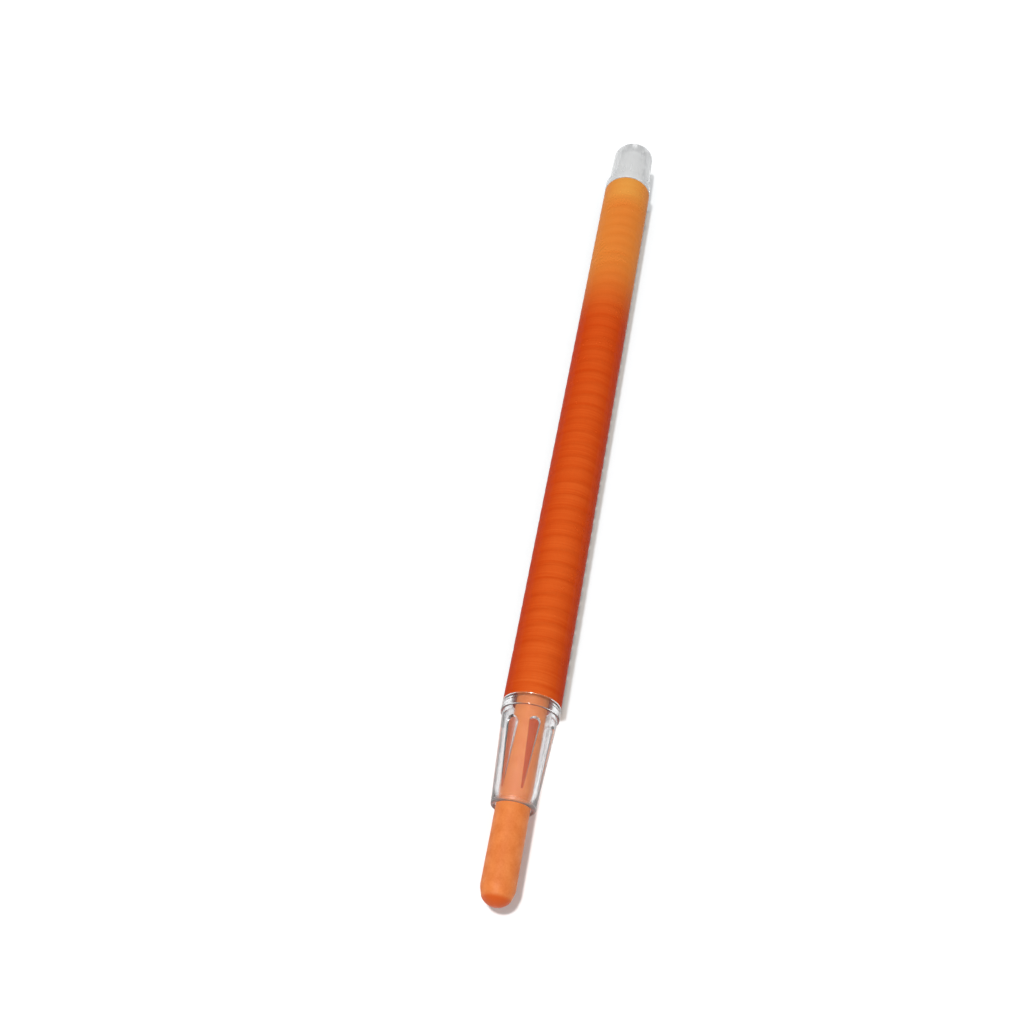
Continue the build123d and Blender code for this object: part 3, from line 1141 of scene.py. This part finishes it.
@dataclass
class NoseCone:
    """Clear nose: barbed spigot in the barrel, collar, tapering body, lip and guide ribs inside."""

    spigot_length: float = 6.0 * MM
    spigot_bore: float = 3.27 * MM
    spigot_radius: float = 3.65 * MM
    barb_count: int = 5
    barb_pitch: float = 0.8 * MM
    barb_rise: float = 0.75
    barb_height: float = 0.18 * MM
    collar_length: float = 2.0 * MM
    shoulder_step: float = 0.25 * MM
    wall: float = 0.78 * MM
    rounding: float = 0.18 * MM
    lip_wall: float = 0.6 * MM
    lip_rounding: float = 0.34 * MM
    mouth_rounding: float = 0.22 * MM
    mouth_bore: float = 2.7 * MM
    mouth_land: float = 2.2 * MM
    rib_count: int = 6
    rib_turn: float = -0.05
    rib_radius: float = 2.72 * MM
    rib_crest_rear: float = 1.35 * MM
    rib_crest_front: float = 0.3 * MM
    rib_flare: float = 0.6
    rib_sink: float = 0.3 * MM
    rib_setback: float = 1.5 * MM
    segments: int = 128

    def rib_span(self) -> Point:
        """Stations of the rear and front ends of the ribs."""
        rear, mouth, _ = span("nose_cone")
        return rear + self.spigot_length + self.collar_length + self.rib_setback, mouth - self.mouth_land

    def rib_end(self, station: float, root: float, width: float, way: int) -> list[Vector]:
        """Round end of a rib, crest inwards and widening to its root.

        Args:
            station: Station of the end.
            root: Radius of its root.
            width: Width of its crest.
            way: 1 for the front end, -1 for the rear end.

        Returns:
            Points of the crest's and the root's outlines.
        """
        crest = width / 2
        centre = station - way * crest
        foot = crest + self.rib_flare * (root - self.rib_radius) / 2
        points: list[Vector] = []
        for reach, height in ((crest, self.rib_radius), (foot, root)):
            for step in range(ARC_STEPS + 1):
                angle = math.pi * step / ARC_STEPS
                ahead = centre + way * reach * math.sin(angle)
                points.append(Vector((ahead, reach * math.cos(angle), height)))
        return points

    def finish(self) -> RibShadedPlastic:
        """Clear plastic with painted shade on the crests of the ribs.

        Returns:
            The nose's finish.
        """
        widths = (self.rib_crest_rear, self.rib_crest_front)
        crests = RibCrests(self.rib_count, self.rib_turn, self.rib_radius, *self.rib_span(), *widths)
        return RibShadedPlastic("clear_nose", crests=crests, lip_front=span("nose_cone")[1])

    def build(self, workshop: Workshop, material: bpy.types.Material) -> None:
        """Form the nose and put it in place.

        Args:
            workshop: The forming trees.
            material: The nose's finish.
        """
        rear, mouth, collar = span("nose_cone")
        face = rear + self.spigot_length
        shoulder = face + self.collar_length
        body = collar - self.shoulder_step
        bore_front = mouth - self.mouth_land
        first_barb = face - (self.spigot_length + self.barb_count * self.barb_pitch) / 2
        corners = [Corner(rear, self.spigot_bore), Corner(rear, self.spigot_radius)]
        for barb in range(self.barb_count):
            station = first_barb + barb * self.barb_pitch
            corners.append(Corner(station, self.spigot_radius))
            crest = station + self.barb_rise * self.barb_pitch
            corners.append(Corner(crest, self.spigot_radius + self.barb_height))
        corners += [
            Corner(first_barb + self.barb_count * self.barb_pitch, self.spigot_radius),
            Corner(face, self.spigot_radius),
            Corner(face, collar, self.rounding),
            Corner(shoulder, collar, self.rounding),
            Corner(shoulder, body),
            Corner(mouth, self.mouth_bore + self.lip_wall, self.lip_rounding),
            Corner(mouth, self.mouth_bore, self.mouth_rounding),
            Corner(bore_front, self.mouth_bore),
            Corner(shoulder, body - self.wall),
            Corner(face, self.spigot_bore),
        ]
        blank = workshop.turned("nose_blank", corners, material, segments=self.segments)
        rib_rear, rib_front = self.rib_span()
        rear_end = self.rib_end(rib_rear, body - self.wall + self.rib_sink, self.rib_crest_rear, -1)
        front_end = self.rib_end(rib_front, self.mouth_bore + self.rib_sink, self.rib_crest_front, 1)
        rib = hull_mesh("nose_rib", rear_end + front_end)
        made = workshop.set_round(blank, rib, Fit.JOIN, material, self.rib_count, self.rib_turn)
        workshop.place(made, "clear_nose", "nose_cone", Body.BARREL, Slot.NOSE, workshop.CLEAR_SHARP)


@dataclass
class CrayonStick:
    """Wax crayon: thinner tail in its holder, long round stick and blunt crowned tip."""

    tail_radius: float = 2.15 * MM
    tail_length: float = 6.5 * MM
    tip_length: float = 2.5 * MM
    tip_rounding: float = 3.0 * MM
    crown_length: float = 1.1 * MM
    crown_radius: float = 2.08 * MM
    crown_rounding: float = 0.6 * MM
    crown_steps: int = 10
    row_length: float = 0.6 * MM
    grain_depth: float = 0.02 * MM
    grain_scale: float = 700.0
    segments: int = 72

    def crown(self, tip: float) -> list[Corner]:
        """Corners of the round end, from its soft edge to the axis.

        Args:
            tip: Station of the tip.

        Returns:
            Corners along an arc that meets the axis square.
        """
        ball = (self.crown_radius**2 + self.crown_length**2) / (2 * self.crown_length)
        edge = math.asin(self.crown_radius / ball)
        made = [Corner(tip - self.crown_length, self.crown_radius, self.crown_rounding)]
        for step in range(1, self.crown_steps + 1):
            angle = edge * (1 - step / self.crown_steps)
            made.append(Corner(tip - ball + ball * math.cos(angle), ball * math.sin(angle)))
        return made

    def finish(self) -> Wax:
        """Wax with painted shade that deepens its crown."""
        return Wax("orange_wax", span("crayon_stick")[1] - self.crown_length)

    def build(self, workshop: Workshop, material: bpy.types.Material) -> None:
        """Form the crayon and put it in place.

        Args:
            workshop: The forming trees.
            material: The wax.
        """
        rear, tip, radius = span("crayon_stick")
        shoulder = rear + self.tail_length
        corners = [
            Corner(rear, 0.0),
            Corner(rear, self.tail_radius),
            Corner(shoulder, self.tail_radius),
            Corner(shoulder, radius, step=self.row_length, pattern=1.0),
            Corner(tip - self.tip_length, radius, self.tip_rounding),
            *self.crown(tip),
        ]
        made = workshop.turned(
            "stick",
            corners,
            material,
            closed=False,
            segments=self.segments,
            grain_depth=self.grain_depth,
            grain_scale=self.grain_scale,
        )
        workshop.place(made, "wax_crayon", "crayon_stick", Body.CARRIAGE, Slot.WAX)


@dataclass
class TwistKnob:
    """Clear knob: flange against the barrel, drafted grip, square socket and pockets in its end."""

    flange_length: float = 2.0 * MM
    flange_rounding: float = 0.25 * MM
    shoulder_step: float = 0.5 * MM
    draft: float = 0.2 * MM
    end_rounding: float = 0.8 * MM
    socket_side: float = 4.74 * MM
    socket_corner: float = 0.35 * MM
    socket_depth: float = 9.3 * MM
    pocket_count: int = 8
    pocket_circle: float = 5.2 * MM
    pocket_side: float = 0.9 * MM
    pocket_depth: float = 1.6 * MM
    clear_of_face: float = 1.0 * MM
    segments: int = 128

    def finish(self) -> ClearPlastic:
        """Clear plastic, hazier than the nose."""
        return ClearPlastic(
            "hazy_knob",
            pale=(0.99, 0.985, 0.975),
            deep=(0.94, 0.935, 0.93),
            # painted shade: grey towards the knob's outline
            edge=(0.77, 0.77, 0.77),
            cloudiness=0.48,
            roughness=(0.1, 0.3),
            light_left=(0.62, 0.62, 0.62),
        )

    def socket_outline(self, station: float) -> list[Vector]:
        """Rounded square across the crayon.

        Args:
            station: Where it lies.

        Returns:
            Its points, in order.
        """
        half = self.socket_side / 2
        signs = [(1, 1), (1, -1), (-1, -1), (-1, 1)]
        square = [Vector((station, side * half, rise * half)) for side, rise in signs]
        points: list[Vector] = []
        for index, corner in enumerate(square):
            points += softened(corner, square[index - 1], square[(index + 1) % 4], self.socket_corner)
        return points

    def build(self, workshop: Workshop, material: bpy.types.Material) -> None:
        """Form the knob and put it in place.

        Args:
            workshop: The forming trees.
            material: The knob's finish.
        """
        end, face, flange = span("twist_knob")
        shoulder = face - self.flange_length
        grip = flange - self.shoulder_step
        corners = [
            Corner(end, 0.0),
            Corner(end, grip - self.draft, self.end_rounding),
            Corner(shoulder, grip),
            Corner(shoulder, flange, self.flange_rounding),
            Corner(face, flange, self.flange_rounding),
            Corner(face, 0.0),
        ]
        blank = workshop.turned("knob_blank", corners, material, closed=False, segments=self.segments)
        floor = self.socket_outline(face - self.socket_depth)
        socket = hull_mesh("knob_socket", floor + self.socket_outline(face + self.clear_of_face))
        hollow = workshop.set_round(blank, socket, Fit.CARVE, material)
        half = self.pocket_side / 2
        centre = self.pocket_circle / 2
        sides = [(-half, -half), (half, -half), (half, half), (-half, half)]
        ends = (end - self.clear_of_face, end + self.pocket_depth)
        pocket = hull_mesh(
            "knob_pocket",
            [Vector((station, side, centre + rise)) for station in ends for side, rise in sides],
        )
        made = workshop.set_round(hollow, pocket, Fit.CARVE, material, self.pocket_count)
        workshop.place(made, "clear_knob", "twist_knob", Body.KNOB, Slot.KNOB, workshop.CLEAR_SHARP)


@dataclass
class InnerWorks:
    """Guide tube and holder, whose frame nodes are shown as they are."""

    guide: str = "guide_tube"
    holder: str = "crayon_holder"

    def dress(self, milky: bpy.types.Material, matte: bpy.types.Material) -> None:
        """Give both nodes their finish.

        Args:
            milky: Finish of the guide tube.
            matte: Finish of the holder.
        """
        for node, material in ((self.guide, milky), (self.holder, matte)):
            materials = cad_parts[node].data.materials
            materials.clear()
            materials.append(material)
            log.info("%s: dressed as packed", node)


@dataclass
class Studio:
    """Floor, soft light and the camera at the photograph's place."""

    floor_half: float = 1.2
    eye: Vector = Vector((130.49, 11.29, 170.65)) * MM
    gaze: Vector = Vector((-0.56788, -0.10161, -0.81682))
    focal_pixels: float = 1197.0
    picture_pixels: float = 1024.0
    sensor: float = 36.0
    room_glow: float = 0.31
    front_glow: float = 0.24
    band_glow: float = 1.0
    band_width: float = 0.35
    haze_height: float = 0.4
    backdrop: float = 0.9
    sky_tint: Colour = (0.95, 0.98, 1.0)
    key_place: Vector = Vector((0.28, -0.27, 1.8))
    key_size: float = 0.15
    key_power: float = 24.0
    light_bounces: int = 24
    clear_bounces: int = 32

    def floor(self, material: bpy.types.Material) -> None:
        """Lay the floor that the crayon lies on.

        Args:
            material: Its finish.
        """
        half = self.floor_half
        mesh = bpy.data.meshes.new("floor")
        corners = [(-half, -half, 0), (half, -half, 0), (half, half, 0), (-half, half, 0)]
        mesh.from_pydata(corners, [], [(0, 1, 2, 3)])
        mesh.materials.append(material)
        floor = bpy.data.objects.new("floor", mesh)
        bpy.context.scene.collection.objects.link(floor)

    def lamp(self) -> None:
        """Hang the key lamp, which faces the crayon."""
        data = bpy.data.lights.new("key", "AREA")
        data.size = self.key_size
        data.energy = self.key_power
        lamp = bpy.data.objects.new("key", data)
        lamp.location = self.key_place
        lamp.rotation_euler = (-self.key_place).to_track_quat("-Z", "Y").to_euler()
        bpy.context.scene.collection.objects.link(lamp)

    def light(self) -> None:
        """Set the sky, a bright band across the crayon in a dim room that the camera sees as pale."""
        world = bpy.data.worlds.new("studio")
        world.use_nodes = True
        graph = Graph(world.node_tree)
        way = graph.node("ShaderNodeTexCoord").outputs["Generated"]
        parts = graph.node("ShaderNodeSeparateXYZ", {0: way}).outputs
        off_band = graph.math("POWER", graph.math("DIVIDE", parts[0], self.band_width), 2.0)
        band = graph.math("EXPONENT", graph.math("MULTIPLY", off_band, -1.0))
        above = graph.math("POWER", graph.math("MAXIMUM", parts[2], 0.0), 2.0)
        overhead = graph.math("MULTIPLY", band, above)
        lift = graph.remap(parts[2], (0.0, self.haze_height))
        behind = graph.math("MULTIPLY", graph.math("MINIMUM", parts[0], 0.0), lift)
        slant = graph.math("ADD", graph.math("MAXIMUM", parts[0], 0.0), behind)
        room = graph.math("MULTIPLY_ADD", slant, self.front_glow, self.room_glow)
        glow = graph.math("MULTIPLY_ADD", overhead, self.band_glow, room)
        seen = graph.node("ShaderNodeLightPath").outputs["Is Camera Ray"]
        shown = graph.node("ShaderNodeMix", {0: seen, 2: glow, 3: self.backdrop})
        sky = world.node_tree.nodes["Background"].inputs
        graph.feed(sky["Strength"], shown.outputs[0])
        graph.feed(sky["Color"], opaque(self.sky_tint))
        bpy.context.scene.world = world

    def camera(self) -> None:
        """Place the camera."""
        data = bpy.data.cameras.new("camera")
        data.sensor_width = self.sensor
        data.lens = self.focal_pixels / self.picture_pixels * self.sensor
        data.clip_start = MM
        camera = bpy.data.objects.new("camera", data)
        camera.location = self.eye
        camera.rotation_euler = self.gaze.to_track_quat("-Z", "Y").to_euler()
        bpy.context.scene.collection.objects.link(camera)
        bpy.context.scene.camera = camera

    def develop(self) -> None:
        """Set how light passes through the clear pieces and how the picture is toned."""
        scene = bpy.context.scene
        scene.view_settings.view_transform = "Standard"
        scene.cycles.use_denoising = True
        scene.cycles.max_bounces = self.light_bounces
        scene.cycles.transmission_bounces = self.light_bounces
        scene.cycles.transparent_max_bounces = self.clear_bounces
        scene.cycles.caustics_reflective = False
        scene.cycles.caustics_refractive = False


def main() -> None:
    """Build the crayon and its studio."""
    logging.basicConfig(level=logging.INFO, format="%(name)s: %(message)s")
    effects = Effects()
    workshop = Workshop()
    for piece in (Barrel(), NoseCone(), TwistKnob(), CrayonStick()):
        piece.build(workshop, piece.finish().material(effects))
    milky = MilkyPlastic("milky_guide").material(effects)
    InnerWorks().dress(milky, MattePlastic("white_holder").material(effects))
    studio = Studio()
    studio.floor(Paper("pale_paper").material(effects))
    studio.light()
    studio.lamp()
    studio.camera()
    studio.develop()


if __name__ == "__main__":
    main()
